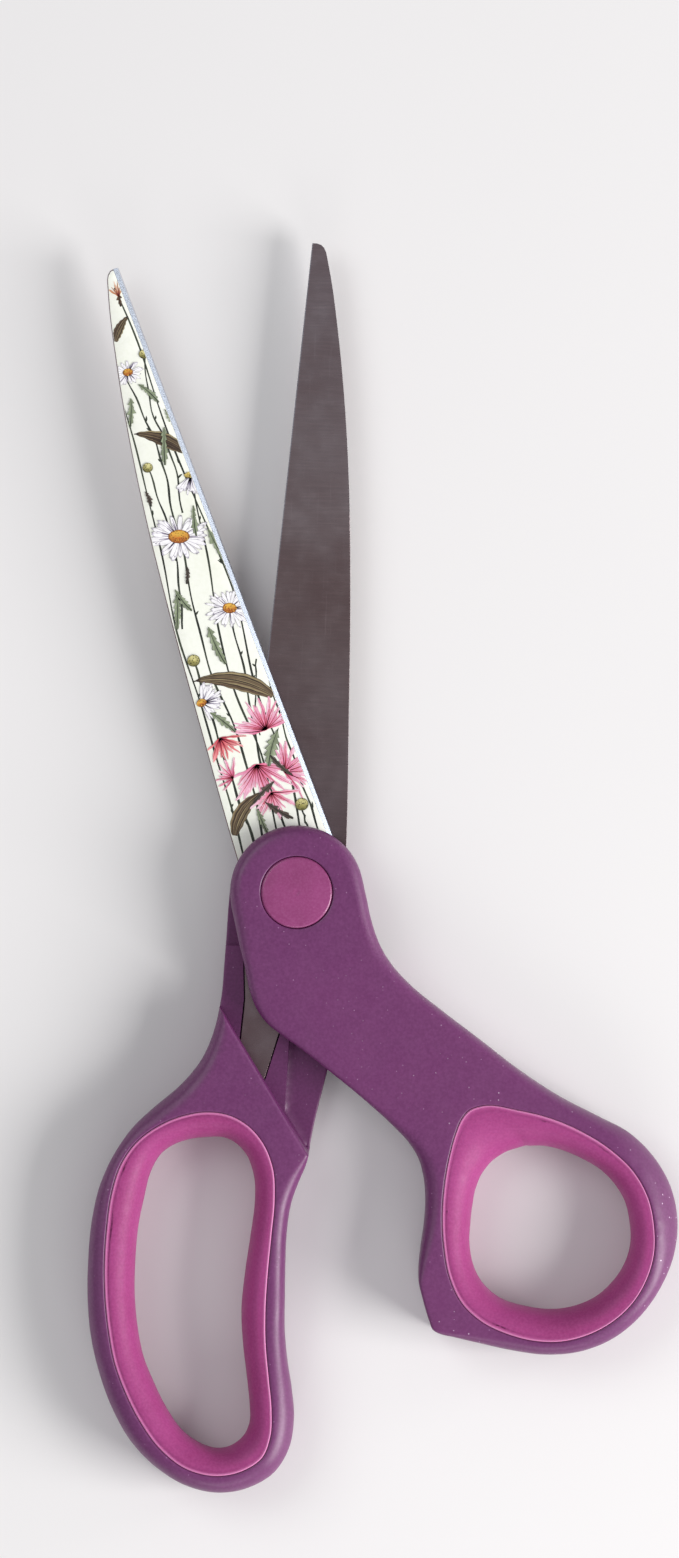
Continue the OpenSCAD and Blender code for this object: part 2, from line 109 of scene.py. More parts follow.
# ---- each handle's shell round the tang, and the tang's pocket in it ----
FINGER_SHELL = [[-20, -6.02], [-9.5, -22.3], [4.6, -44.2], [40, -44.2], [40, 30], [-20, 30]]
THUMB_SHELL = [[12.5, -6], [12.5, 30], [-40, 30], [-40, -44], [4.9, -44], [5.5, -41]]
OPEN_SHELL = [[-60, -9], [60, -9], [60, 60], [-60, 60]]
FINGER_POCKET = [[30, -8], [8, -8], [3.4, -13.4], [0.3, -18.4], [-0.5, -24], [-0.8, -34], [-0.9, -35.6],
                 [4.7, -44.3], [30, -44.3]]
THUMB_POCKET = [[-30, -8], [-30, -43], [3.2, -43], [2.2, -36.5], [1.1, -30], [0.7, -24], [-0.6, -18.4],
                [-3.4, -13.4], [-8, -8]]
FINGER_BORE, THUMB_BORE = (4.82, 0.22), (5.86, 0.28)  # the hole at the pivot: radius, rounding of its edge
POST_R = 1.3  # the post through a tang's small hole
POCKET_RUN = 0.12  # how wide a pocket's sloping wall is in plan
SEAT_GAP = 0.22  # room round the blade where it lies in its handle
# The wall of a handle's step, as distances out from the shell: its two sides, and its rounded top edge.
WALL_OUT, WALL_IN, WALL_ROUND_AT, WALL_ROUND = 0.18, 0.04, 0.14, 0.6
SEAM_ROUND = 0.3  # rounding of a handle's edge where it meets the lining
# ---- blade, inner face at height 0: the spine from the tip down, then the tang ----
SPINE = [[-1.4, 103.6], [-2.4, 99], [-3.7, 91], [-5.1, 80], [-6.3, 66], [-7.1, 48], [-7.5, 28], [-7.75, 11],
         [-7.7, 0]]
TANG = [[-6.4, -8], [-2.4, -16], [2.2, -23], [4.2, -30], [5.6, -33], [8, -34.4], [10.2, -33], [9.6, -29],
        [8.3, -24], [7.8, -17.6], [8.3, -8]]
EDGE_FROM, EDGE_TO = np.array([8.8, 0.0]), np.array([0.9, 105.0])
TANG_HOLE = (7.6, -30.9)
TANG_HOLE_R, PIVOT_HOLE_R = 1.4, 3.05
BEVEL_W, BEVEL_EDGE = 0.85, 0.2  # width of the ground bevel, and of the steep cutting edge on it
BEVEL_DROP, EDGE_T = 0.8, 0.06  # how deep the bevel is ground, and the edge's own thickness
EDGE_GLINT_W = 0.16  # width of the painted highlight along the cutting edge, on the inner face
OUTER_CHAMFER, INNER_CHAMFER = 0.14, 0.05  # on the spine and the tang
# The inner face's hollow grind: its middle and half width, in from the cutting edge, and its depth.
HOLLOW_AT, HOLLOW_HALF, HOLLOW_DEEP = 5.85, 5.5, 0.12


# ======== plan lines
def smooth(knots, spacing=0.6, closed=True):
    """The CAD's smooth curve through knots: each knot's slope comes from its two neighbours."""
    k = np.array(knots, float)
    if closed:
        nxt, prv = np.roll(k, -1, 0), np.roll(k, 1, 0)
    else:
        nxt, prv = np.vstack([k[1:], 2 * k[-1] - k[-2]]), np.vstack([2 * k[0] - k[1], k[:-1]])
    after = np.linalg.norm((nxt - k)[:, :2], axis=1)
    before = np.linalg.norm((k - prv)[:, :2], axis=1)
    slope = (k - prv) * (after / before)[:, None] + (nxt - k) * (before / after)[:, None]
    slope /= (before + after)[:, None]
    out = []
    for i in range(len(k) if closed else len(k) - 1):
        j, d = (i + 1) % len(k), after[i]
        count = max(2, round(d / spacing))
        for t in np.arange(count) / count:
            out.append(k[i] * (2 * t**3 - 3 * t**2 + 1) + slope[i] * d * (t**3 - 2 * t**2 + t)
                       + k[j] * (3 * t**2 - 2 * t**3) + slope[j] * d * (t**3 - t**2))
    if not closed:
        out.append(k[-1])
    return np.array(out)


def dense(line, step=0.6, closed=True):
    """The same line with no straight piece longer than step."""
    line, out = np.array(line, float), []
    for i in range(len(line) if closed else len(line) - 1):
        a, b = line[i], line[(i + 1) % len(line)]
        count = max(1, ceil(np.linalg.norm((b - a)[:2]) / step))
        out += [a + (b - a) * s / count for s in range(count)]
    if not closed:
        out.append(line[-1])
    return np.array(out)


def inset(loop, distance):
    """A smooth loop moved to the left of its direction, which is inwards if it runs anticlockwise."""
    u = np.roll(loop, -1, 0)[:, :2] - np.roll(loop, 1, 0)[:, :2]
    u /= np.linalg.norm(u, axis=1)[:, None]
    moved = loop.copy()
    moved[:, 0] -= u[:, 1] * distance
    moved[:, 1] += u[:, 0] * distance
    return moved


def inset_polygon(corners, distance):
    """An anticlockwise polygon of straight sides moved inwards, its corners kept sharp."""
    p = np.array(corners, float)
    out = []
    for i in range(len(p)):
        a, b = p[i] - p[i - 1], p[(i + 1) % len(p)] - p[i]
        na, nb = np.array([-a[1], a[0]]) / np.hypot(*a), np.array([-b[1], b[0]]) / np.hypot(*b)
        out.append(p[i] + (na + nb) * distance / (1 + na @ nb))
    return np.array(out)


def circle(x, y, r, count=64):
    angles = [2 * pi * i / count for i in range(count)]
    return np.array([[x + r * cos(a), y + r * sin(a)] for a in angles])


def nearest(points, line):
    """How far each point is from a closed line, and the line's own columns at the nearest place."""
    a, b = line, np.roll(line, -1, 0)
    d = (b - a)[:, :2]
    length2 = (d * d).sum(1) + 1e-12
    far, columns = np.empty(len(points)), np.empty((len(points), line.shape[1]))
    for s in range(0, len(points), 1500):
        p = points[s:s + 1500, None, :2]
        t = np.clip(((p - a[None, :, :2]) * d).sum(2) / length2, 0, 1)
        gap = ((p - (a[None, :, :2] + d * t[..., None])) ** 2).sum(2)
        i = gap.argmin(1)
        r = np.arange(len(i))
        far[s:s + 1500] = np.sqrt(gap[r, i])
        columns[s:s + 1500] = a[i] + (b[i] - a[i]) * t[r, i][:, None]
    return far, columns


def inside(points, loop):
    x, y = points[:, 0], points[:, 1]
    hit = np.zeros(len(points), bool)
    for (x0, y0), (x1, y1) in zip(loop[:, :2], np.roll(loop[:, :2], -1, 0)):
        if y0 != y1:
            hit ^= ((y0 > y) != (y1 > y)) & (x < (x1 - x0) * (y - y0) / (y1 - y0) + x0)
    return hit


def depth(points, loop):
    """Distance into a closed line, negative outside it."""
    loop = np.array(loop, float)
    return np.where(inside(points, loop), 1, -1) * nearest(points, loop)[0]


def unit(t):
    return np.clip(t, 0, 1)


def round_off(d, r, stretch=1.0):
    """How far a rounded edge of radius r has dropped at distance d from it."""
    t = 1 - unit(d / r)
    return stretch * r * (1 - np.sqrt(unit(1 - t * t)))


def ease(t):
    t = unit(t)
    return t * t * (3 - 2 * t)


def edge_roll(d, r):
    """A handle's edge: round where it is narrow, and an even slope with a round rim where it is broad."""
    t = 1 - unit(d / r)
    slope = 0.95 * r * t ** 1.6 + round_off(d, 0.3 * r)
    share = ease((r - 2.3) / 1.2)
    return round_off(d, r, 1.35) * (1 - share) + slope * share


# ======== meshes
def add_object(name, data):
    obj = bpy.data.objects.new(name, data)
    bpy.context.scene.collection.objects.link(obj)
    return obj


def make_object(name, verts, faces, body, material, node=None, sharp=32, colours=None, layer="ink"):
    """A shown piece from points in millimetres, riding on a body, in place of a CAD node if one is named."""
    mesh = bpy.data.meshes.new(name)
    mesh.from_pydata((np.asarray(verts, float) * MM).tolist(), [], [list(f) for f in faces])
    if body == "thumb_half":
        mesh.transform(THUMB_TURN)
    mesh.validate()
    mesh.shade_smooth()
    mesh.set_sharp_from_angle(angle=radians(sharp))
    if colours is not None:
        rows = np.hstack([colours, np.ones((len(colours), 1))]).astype(np.float32)
        mesh.color_attributes.new(layer, "FLOAT_COLOR", "POINT").data.foreach_set("color", rows.ravel())
    mesh.materials.append(material)
    obj = add_object(name, mesh)
    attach(obj, body)
    if node:
        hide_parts(node)


def within(points, loops):
    """Whether each point is inside loops[0] and outside the others."""
    hit = inside(points, loops[0])
    for hole in loops[1:]:
        hit &= ~inside(points, hole)
    return hit


def triangulate(loops, creases, grid):
    """Triangles over the plan region inside loops[0] and outside the other loops, with creases as edges."""
    coords, edges = [], []
    for line in list(loops) + list(creases):
        start, count = len(coords), len(line)
        coords += [Vector((p[0], p[1])) for p in line]
        edges += [(start + i, start + (i + 1) % count) for i in range(count)]
    fixed = np.array([[c.x, c.y] for c in coords])
    low, high = loops[0][:, :2].min(0), loops[0][:, :2].max(0)
    rows = np.arange(low[1], high[1], grid * 0.866)
    spots = np.array([[x + (grid / 2 if k % 2 else 0), y] for k, y in enumerate(rows)
                      for x in np.arange(low[0], high[0], grid)])
    spots = spots[within(spots, loops)]
    clear = np.ones(len(spots), bool)
    for s in range(0, len(spots), 500):
        gap = ((spots[s:s + 500, None] - fixed[None]) ** 2).sum(2).min(1)
        clear[s:s + 500] = gap > (grid * 0.5) ** 2
    coords += [Vector(p) for p in spots[clear].tolist()]
    found = delaunay_2d_cdt(coords, edges, [], 0, 1e-5)
    points = np.array([[v.x, v.y] for v in found[0]])
    faces = np.array([f for f in found[2] if len(f) == 3])
    faces = faces[within(points[faces].mean(1), loops)]
    a, b, c = (points[faces[:, i]] for i in range(3))
    sense = (b[:, 0] - a[:, 0]) * (c[:, 1] - a[:, 1]) - (b[:, 1] - a[:, 1]) * (c[:, 0] - a[:, 0])
    faces, sense = faces[np.abs(sense) > 1e-7], sense[np.abs(sense) > 1e-7]
    faces[sense < 0] = faces[sense < 0][:, ::-1]
    used, flat = np.unique(faces, return_inverse=True)
    return points[used], flat.reshape(-1, 3)


def plate(loops, creases, top, bottom, grid=0.9):
    """A closed shell over a plan region between two heights, each given as a function of the plan."""
    points, faces = triangulate(loops, creases, grid)
    n = len(points)
    verts = np.vstack([np.column_stack([points, top(points)]), np.column_stack([points, bottom(points)])])
    directed = {(f[i], f[(i + 1) % 3]): True for f in faces.tolist() for i in range(3)}
    walls = [(a + n, b + n, b, a) for a, b in directed if (b, a) not in directed]
    return verts, faces.tolist() + (faces[:, ::-1] + n).tolist() + walls


# ======== handles
RING_ANGLES = [radians(a) for a in (12, 25, 38, 52, 68, 90)]  # creases round an outline's rounded edge


def handle(knots, loop, shell, pocket, seat, post, bore, finger):
    """A handle: full height on one side of a step, a shell round the tang on the other."""
    bore_r, bore_round = bore
    outline = inset(smooth(knots), 0.02)  # a hair inside the CAD's
    seam = smooth(loop)[:, :2]
    hole = circle(0, 0, bore_r, 96)
    creases = [inset(outline, outline[:, 2] * (1 - cos(a))) for a in RING_ANGLES]
    creases += [inset(seam, -d) for d in (0.07, 0.17, 0.3)]
    creases += [dense(inset_polygon(shell, -d)) for d in (0.74, 0.5, 0.3, WALL_OUT, WALL_IN)]
    creases += [dense(inset_polygon(pocket, d)) for d in (-0.02, 0.1)]
    creases += [dense(OPEN_SHELL), dense(inset_polygon(OPEN_SHELL, POCKET_RUN))]
    creases += [inset(seat, d) for d in (-0.1, -SEAT_GAP)]
    creases += [circle(*post, r, 32) for r in (POST_R, POST_R + POCKET_RUN)]
    creases += [circle(0, 0, bore_r + d, 96) for d in (0.07, 0.16, 0.28)]

    def solid_side(p):
        """How far the closed face has dropped from full height."""
        d, at = nearest(p, outline)
        drop = edge_roll(d, at[:, 2])
        drop = np.maximum(drop, round_off(nearest(p, seam)[0], SEAM_ROUND, 0.8))
        return np.maximum(drop, round_off(np.hypot(p[:, 0], p[:, 1]) - bore_r, bore_round, 0.9))

    def open_side(p):
        """How far the stepped face has dropped from full height."""
        d, at = nearest(p, outline)
        drop = np.maximum(edge_roll(d, at[:, 2]), round_off(nearest(p, seam)[0], SEAM_ROUND, 0.8))
        into = depth(p, shell)
        drop = np.maximum(drop, round_off(-into - WALL_ROUND_AT, WALL_ROUND))
        hollow = np.maximum(np.maximum(depth(p, pocket), depth(p, OPEN_SHELL)), depth(p, seat) + SEAT_GAP)
        hollow = np.minimum(hollow, np.hypot(p[:, 0] - post[0], p[:, 1] - post[1]) - POST_R)
        rim = TOP - FINGER_RIM if finger else THUMB_RIM
        bed = TOP - FINGER_OUT + 0.02 if finger else THUMB_OUT + 0.03
        low = rim + (bed - rim) * unit(hollow / POCKET_RUN) + round_off(d, 0.25)
        share = unit((into + WALL_OUT) / (WALL_OUT - WALL_IN))
        return np.where(into > -WALL_OUT, drop + (low - drop) * share, drop)

    if finger:
        return plate([outline, seam, hole], creases, lambda p: TOP - open_side(p), solid_side)
    return plate([outline, seam, hole], creases, lambda p: TOP - solid_side(p), open_side)


RIM_SHARE = 0.14  # how much of a lining's width is its flat rim


def lining(loop):
    """The soft ring of a loop: a lip at the seam, a flat rim, then a swell round to the hole."""
    ring = smooth(loop, 0.55)
    outer, hole = ring[:, :2], ring[:, 2:]
    width = np.linalg.norm(hole - outer, axis=1)[:, None]
    # Each row of the section: distance from the seam, share of the way to the hole, height above the middle.
    rows = [(0.02, 0, 5.15), (0.05, 0, 5.32), (0.12, 0, 5.47), (0.24, 0, 5.53), (0.36, 0, 5.5)]
    rows += [(0.5, s, 5.46 + 0.03 * s / RIM_SHARE) for s in (0, 0.05, 0.1)]
    for k in range(25):
        a = radians(90 - 90 * k / 24)
        rows.append((0, RIM_SHARE + (1 - RIM_SHARE) * cos(a) ** 0.95, 5.49 * sin(a) ** 0.95))
    lips = [0.25, 0.7, 1, 0.9, 0.45, 0.1]  # how much of the lip's paler tint each row has
    lips += [0] * (len(rows) - len(lips))
    rows += [(d, s, -min(z, MID)) for d, s, z in rows[-2::-1]]
    lips += lips[-2::-1]
    m, n = len(rows), len(ring)
    verts, tint = [], []
    for (d, s, z), light in zip(rows, lips):
        across = np.minimum(d / width + s * (1 - d / width * (s < RIM_SHARE)), 1)
        xy = outer + (hole - outer) * across
        verts.append(np.column_stack([xy, np.full(n, MID + z)]))
        tint.append(np.full((n, 3), light))
    faces = [(r * n + i, ((r + 1) % m) * n + i, ((r + 1) % m) * n + (i + 1) % n, r * n + (i + 1) % n)
             for r in range(m) for i in range(n)]
    return np.vstack(verts), faces, np.vstack(tint)


# ======== blades
along_edge = (EDGE_TO - EDGE_FROM) / np.linalg.norm(EDGE_TO - EDGE_FROM)
from_edge = np.array([-along_edge[1], along_edge[0]])
blade_line = np.vstack([
    dense([[0.9, 105], [0.15, 105.0], [-0.55, 104.78], [-1.05, 104.3], [-1.4, 103.6]], 0.4, False)[:-1],
    smooth(SPINE, 1.0, False)[:-1],
    dense([SPINE[-1]] + TANG + [EDGE_FROM.tolist()], 0.8, False)[:-1],
    dense([EDGE_FROM, EDGE_TO], 0.8, False)[:-1]])


def across_blade(p):
    """Distance in from the cutting edge, and distance along it from its root."""
    return (p[:, :2] - EDGE_FROM) @ from_edge, (p[:, :2] - EDGE_FROM) @ along_edge


def edge_parallel(e, start):
    """A line at distance e in from the cutting edge, from start to past the tip."""
    return dense([EDGE_FROM + along_edge * a + from_edge * e for a in (start, 112)], 0.9, False)


def outer_face(p):
    """The outer face: a ground bevel along the edge and a small chamfer on the spine."""
    e, along = across_blade(p)
    d = nearest(p, blade_line)[0]
    chamfer = np.where((e > 2) | (along < 2), np.clip(OUTER_CHAMFER - d, 0, OUTER_CHAMFER), 0)
    run = ease((along - 3) / 4)
    ground = unit(1 - e / BEVEL_W) * BEVEL_DROP + unit(1 - e / BEVEL_EDGE) * (BLADE_T - EDGE_T - BEVEL_DROP)
    bevel = np.where(along > 3, ground * run, 0)
    return BLADE_T - np.maximum(chamfer, bevel)


def inner_face(p):
    """The inner face: a shallow hollow grind, and a flat land along the edge."""
    e, along = across_blade(p)
    d = nearest(p, blade_line)[0]
    chamfer = np.where((e > 2) | (along < 2), np.clip(INNER_CHAMFER - d, 0, INNER_CHAMFER), 0)
    hollow = HOLLOW_DEEP * unit(1 - ((e - HOLLOW_AT) / HOLLOW_HALF) ** 2) * ease((along - 14) / 5)
    return np.maximum(hollow, chamfer)


def blade():
    """A blade with its tang, its inner face at height 0, creased along the bevel and the hollow grind."""
    creases = []
    starts = [(e, 7) for e in (BEVEL_W, BEVEL_EDGE)]
    starts += [(e, 12) for e in (0.35, 2.2, 4, HOLLOW_AT, 7.7, 9.5, 11.35)]
    for e, start in starts:
        line = edge_parallel(e, start)
        creases.append(np.vstack([line, line[-2:0:-1]]))  # there and back, since every line is closed
    creases += [inset(blade_line, INNER_CHAMFER), inset(blade_line, OUTER_CHAMFER)]
    holes = [circle(0, 0, PIVOT_HOLE_R, 48), circle(*TANG_HOLE, TANG_HOLE_R, 32)]
    return plate([blade_line] + holes, creases, outer_face, inner_face, 1.3)


# ======== turned parts
def lathe(profile, count=128):
    """A solid of revolution about the pivot axis; the profile runs from the axis out and back."""
    verts, faces, rings = [], [], []
    for r, z in profile:
        if r < 1e-6:
            rings.append([len(verts)] * count)
            verts.append([0, 0, z])
        else:
            rings.append(list(range(len(verts), len(verts) + count)))
            verts += [[*p, z] for p in circle(0, 0, r, count)]
    for a, b in zip(rings, rings[1:]):
        for i in range(count):
            j = (i + 1) % count
            face = list(dict.fromkeys([a[i], b[i], b[j], a[j]]))
            if len(face) > 2:
                faces.append(face)
    return np.array(verts, float), faces


# ======== materials
def rgb(r, g, b):
    """A screen colour of 0 to 255 as linear light."""
    def linear(c):
        return c / 12.92 if c <= 0.04045 else ((c + 0.055) / 1.055) ** 2.4
    return tuple(linear(c / 255) for c in (r, g, b))


class Look:
    """A node material under construction."""

    def __init__(self, name, ior, level=0.5, coat=0.0, coat_rough=0.03, **fixed):
        self.material = bpy.data.materials.new(name)
        self.material.use_nodes = True
        self.tree = self.material.node_tree
        self.shader = self.tree.nodes["Principled BSDF"]
        fixed.update(IOR=ior, Specular_IOR_Level=level, Coat_Weight=coat, Coat_Roughness=coat_rough)
        for socket, value in fixed.items():
            self.shader.inputs[socket.replace("_", " ")].default_value = value
        self.place = self.add("TexCoord").outputs["Object"]

    def add(self, kind, inputs=None, **props):
        node = self.tree.nodes.new("ShaderNode" + kind)
        for k, v in props.items():
            setattr(node, k, v)
        for k, v in (inputs or {}).items():
            if isinstance(v, bpy.types.NodeSocket):
                self.tree.links.new(v, node.inputs[k])
            else:
                node.inputs[k].default_value = v
        return node

    def drive(self, socket, value):
        self.tree.links.new(value, self.shader.inputs[socket])

    def math(self, kind, a, b):
        return self.add("Math", {0: a, 1: b}, operation=kind).outputs[0]

    def times(self, a, b):
        return self.math("MULTIPLY", a, b)

    def noise(self, size_mm, detail=2.0, stretch=(1, 1, 1), turn=0.0, rough=0.5):
        where = self.place
        if stretch != (1, 1, 1) or turn:
            mapping = {"Vector": where, "Scale": stretch, "Rotation": (0, 0, turn)}
            where = self.add("Mapping", mapping).outputs[0]
        return self.add("TexNoise", {"Vector": where, "Scale": 1 / (size_mm * MM), "Detail": detail,
                                     "Roughness": rough}).outputs[0]

    def spread(self, value, low, high, to_low=0.0, to_high=1.0):
        return self.add("MapRange", {"Value": value, "From Min": low, "From Max": high, "To Min": to_low,
                                     "To Max": to_high}).outputs[0]

    def patches(self, size_mm, detail, low, high, to_low=0.0, to_high=1.0, **kind):
        return self.spread(self.noise(size_mm, detail, **kind), low, high, to_low, to_high)

    def blend(self, factor, a, b, kind="MIX"):
        node = self.add("Mix", data_type="RGBA", blend_type=kind)
        for index, value in ((0, factor), (6, a), (7, b)):
            if isinstance(value, bpy.types.NodeSocket):
                self.tree.links.new(value, node.inputs[index])
            else:
                node.inputs[index].default_value = value if index == 0 else (*value[:3], 1)
        return node.outputs[2]

    def mottle(self, patch_mm, one, other, grain_mm, grain, low=0.35, high=0.7, most=0.3):
        """Two close tones in soft patches, under a fine grain of a third."""
        colour = self.blend(self.patches(patch_mm, 3, 0.35, 0.65), one, other)
        return self.blend(self.patches(grain_mm, 3, low, high, 0, most), colour, grain)

    def specks(self, cell_mm, empty, radius):
        """Round specks, each in the middle of a cell; empty is the share of cells that have none."""
        where = {"Vector": self.place, "Scale": 1 / (cell_mm * MM)}
        cells = self.add("TexVoronoi", where, feature="F1").outputs
        lot = self.add("SeparateColor", {"Color": cells["Color"]}).outputs[0]
        speck = self.math("LESS_THAN", cells["Distance"], radius)
        return self.times(speck, self.math("GREATER_THAN", lot, empty))

    def finish(self, colour, rough, height=None, height_mm=0.0, strength=0.0):
        """The finished material, with a bump if a height is given."""
        self.drive("Base Color", colour)
        self.drive("Roughness", rough)
        if height is not None:
            bump = {"Height": height, "Distance": height_mm * MM, "Strength": strength}
            self.drive("Normal", self.add("Bump", bump).outputs[0])
        return self.material


def moulded_plastic():
    """Dark purple plastic with a fine grain, a few pale flecks, and dust in patches to the thumb's side."""
    look = Look("handle_plastic", 1.48, 0.5, 0.22, 0.38)
    colour = look.mottle(26, rgb(97, 37, 90), rgb(105, 43, 96), 0.45, rgb(134, 70, 126))
    colour = look.blend(look.times(look.specks(0.9, 0.9, 0.11), 0.38), colour, rgb(200, 156, 196))
    x = look.add("SeparateXYZ", {0: look.place}).outputs[0]
    aside = look.spread(x, 12 * MM, 42 * MM, 0.12, 1)
    dust = look.times(look.specks(0.6, 0.92, 0.19), look.times(look.patches(13, 2, 0.42, 0.56), aside))
    colour = look.blend(look.times(dust, 0.75), colour, rgb(228, 206, 228))
    return look.finish(colour, look.patches(3.5, 3, 0.3, 0.7, 0.4, 0.5), look.noise(0.38, 2), 0.03, 0.55)


def soft_lining():
    """Pink soft plastic, paler on the lip at the seam."""
    look = Look("soft_lining", 1.48, 0.28, Sheen_Weight=0.04, Sheen_Roughness=0.5, Subsurface_Weight=0.12,
                Subsurface_Radius=(0.0012, 0.0004, 0.0006), Subsurface_Scale=1.0)
    colour = look.mottle(18, rgb(149, 54, 114), rgb(162, 64, 128), 0.4, rgb(190, 88, 150))
    lip = look.add("Attribute", attribute_name="lip").outputs["Fac"]
    colour = look.blend(look.times(lip, 0.8), colour, rgb(222, 140, 190))
    return look.finish(colour, look.patches(2.5, 3, 0.3, 0.7, 0.46, 0.58), look.noise(0.32, 2), 0.03, 0.6)


def cap_plastic():
    """The pink cap, smoother than the lining."""
    look = Look("cap_plastic", 1.48, 0.5, 0.25, 0.16)
    colour = look.mottle(5, rgb(136, 56, 106), rgb(148, 64, 118), 0.35, rgb(176, 100, 150), 0.4, most=0.25)
    return look.finish(colour, look.patches(1.5, 3, 0.3, 0.7, 0.26, 0.36), look.noise(0.5, 2), 0.012, 0.5)


def steel(name, turn, mirror, bevel_up):
    """Ground steel with fine lines across the blade; its colour holds a painted dark reflection, painted
    shade along the blade, a painted highlight on the cutting edge and a bright bevel that is partly a painted
    reflection; turn is its angle at rest.
    """
    # dark and light are darker and pinker than bare steel: a painted dark reflection of the dim surroundings
    # the steel mirrors
    dark, light, bright_and_glare = rgb(149, 130, 134), rgb(173, 162, 168), rgb(206, 215, 229)
    look = Look(name, 2.5, Metallic=1.0)
    lines = look.noise(0.22, 4, stretch=(0.05, 1, 1), turn=turn, rough=0.6)
    cloud = look.patches(24, 4, 0.35, 0.68, rough=0.6)
    colour = look.blend(cloud, dark, light)
    colour = look.blend(look.spread(lines, 0.32, 0.68, 0, 0.15), colour, tuple(c * 0.6 for c in dark))
    stain = look.patches(3, 4, 0.5, 0.75, 0, 0.16, rough=0.7)
    colour = look.blend(stain, colour, tuple(min(1, c * 1.3) for c in light))
    hairs = look.patches(0.16, 3, 0.66, 0.74, 0, 0.3, stretch=(1, 0.012, 1), turn=turn + 0.06, rough=0.55)
    colour = look.blend(hairs, colour, tuple(min(1, c * 1.7) for c in light))
    _, y, z = look.add("SeparateXYZ", {0: look.place}).outputs
    # painted light and shade along the blade: darker and warmer near the pivot, paler towards the tip, and
    # the tang lightened against the handles' shadow; each tint takes over between the last place and its own
    tone, start = look.blend(0.0, (0.93, 0.86, 0.86), (1, 1, 1)), -12
    for stop, tint in ((8, (0.65, 0.58, 0.57)), (45, (0.85, 0.78, 0.74)), (62, (0.97, 0.94, 0.91)),
                       (100, (1, 1, 1))):
        tone = look.blend(look.spread(y, start * MM, stop * MM), tone, tint)
        start = stop
    colour = look.blend(1.0, colour, tone, "MULTIPLY")
    # the bevel: within its width of the line of the cutting edge, on the outer half of the blade
    across = Vector((from_edge[0] * mirror, from_edge[1], 0))
    across.rotate(Matrix.Rotation(turn, 3, "Z"))
    edge_at = float(from_edge @ EDGE_FROM)
    reach = look.add("VectorMath", {0: look.place, 1: across}, operation="DOT_PRODUCT").outputs["Value"]
    near = look.math("LESS_THAN", reach, (edge_at + BEVEL_W) * MM)
    if bevel_up:
        outer = look.math("GREATER_THAN", z, (THUMB_IN + 0.3) * MM)
    else:
        outer = look.math("LESS_THAN", z, (FINGER_IN - 0.3) * MM)
    bevel = look.times(look.times(near, outer), look.math("GREATER_THAN", y, 2 * MM))
    # the bevel's colour: bare ground steel, brightened and blued as a painted reflection of the bright room
    bare_and_glare = look.blend(look.spread(lines, 0.3, 0.7), tuple(c * 0.95 for c in bright_and_glare), bright_and_glare)
    # painted highlight: the inner face brightened in a narrow strip along the cutting edge
    edge_glint = look.math("LESS_THAN", reach, (edge_at + EDGE_GLINT_W) * MM)
    colour = look.blend(look.times(edge_glint, 0.35), colour, bright_and_glare)
    rough = look.math("ADD", look.spread(lines, 0.3, 0.7, 0.2, 0.32), look.spread(cloud, 0, 1, 0, 0.05))
    grooves = look.times(lines, look.spread(bevel, 0, 1, 1, 0.2))
    return look.finish(look.blend(bevel, colour, bare_and_glare), rough, grooves, 0.001, 0.6)


def turned_steel():
    """Bright turned steel, with rings about the pivot."""
    look = Look("pivot_steel", 2.5, Metallic=1.0)
    flat = look.add("VectorMath", {0: look.place, 1: (1, 1, 0)}, operation="MULTIPLY").outputs[0]
    radius = look.add("VectorMath", {0: flat}, operation="LENGTH").outputs["Value"]
    along = {"W": radius, "Scale": 1 / (0.22 * MM), "Detail": 3, "Roughness": 0.6}
    rings = look.add("TexNoise", along, noise_dimensions="1D").outputs[0]
    cloud = look.patches(2.5, 4, 0.35, 0.65, rough=0.65)
    colour = look.blend(cloud, rgb(166, 165, 168), rgb(192, 191, 194))
    colour = look.blend(look.spread(rings, 0.35, 0.65, 0, 0.4), colour, rgb(112, 110, 114))
    return look.finish(colour, look.spread(rings, 0.3, 0.7, 0.2, 0.36), rings, 0.004, 0.6)


def enamel():
    """The glossy off-white ground of the print."""
    look = Look("printed_steel", 1.5, 0.5, 0.3, 0.12)
    colour = look.mottle(14, rgb(249, 251, 238), rgb(253, 254, 245), 0.6, rgb(238, 242, 222), 0.4, 0.75)
    return look.finish(colour, look.patches(4, 3, 0.3, 0.7, 0.24, 0.34), look.noise(0.8, 2), 0.006, 0.4)


def print_ink():
    """Ink whose colour is stored at each point of the print."""
    look = Look("print_ink", 1.48, 0.4, 0.2, 0.15)
    ink = look.add("Attribute", attribute_name="ink").outputs["Color"]
    wash = look.patches(0.7, 4, 0.3, 0.7, 0.86, 1.12)
    shade = look.add("VectorMath", {0: ink, "Scale": wash}, operation="SCALE").outputs[0]
    return look.finish(shade, look.patches(0.5, 3, 0.3, 0.7, 0.3, 0.42))


def nylon():
    look = Look("washer_nylon", 1.5, 0.4)
    colour = look.blend(look.noise(1.2, 3), rgb(208, 204, 190), rgb(222, 219, 208))
    return look.finish(colour, look.patches(0.8, 2, 0.3, 0.7, 0.45, 0.6))


def floor_paint():
    look = Look("floor_paint", 1.45, 0.15)
    colour = look.blend(look.noise(160, 3), rgb(232, 230, 230), rgb(237, 235, 235))
    return look.finish(colour, look.patches(30, 2, 0.3, 0.7, 0.75, 0.85))


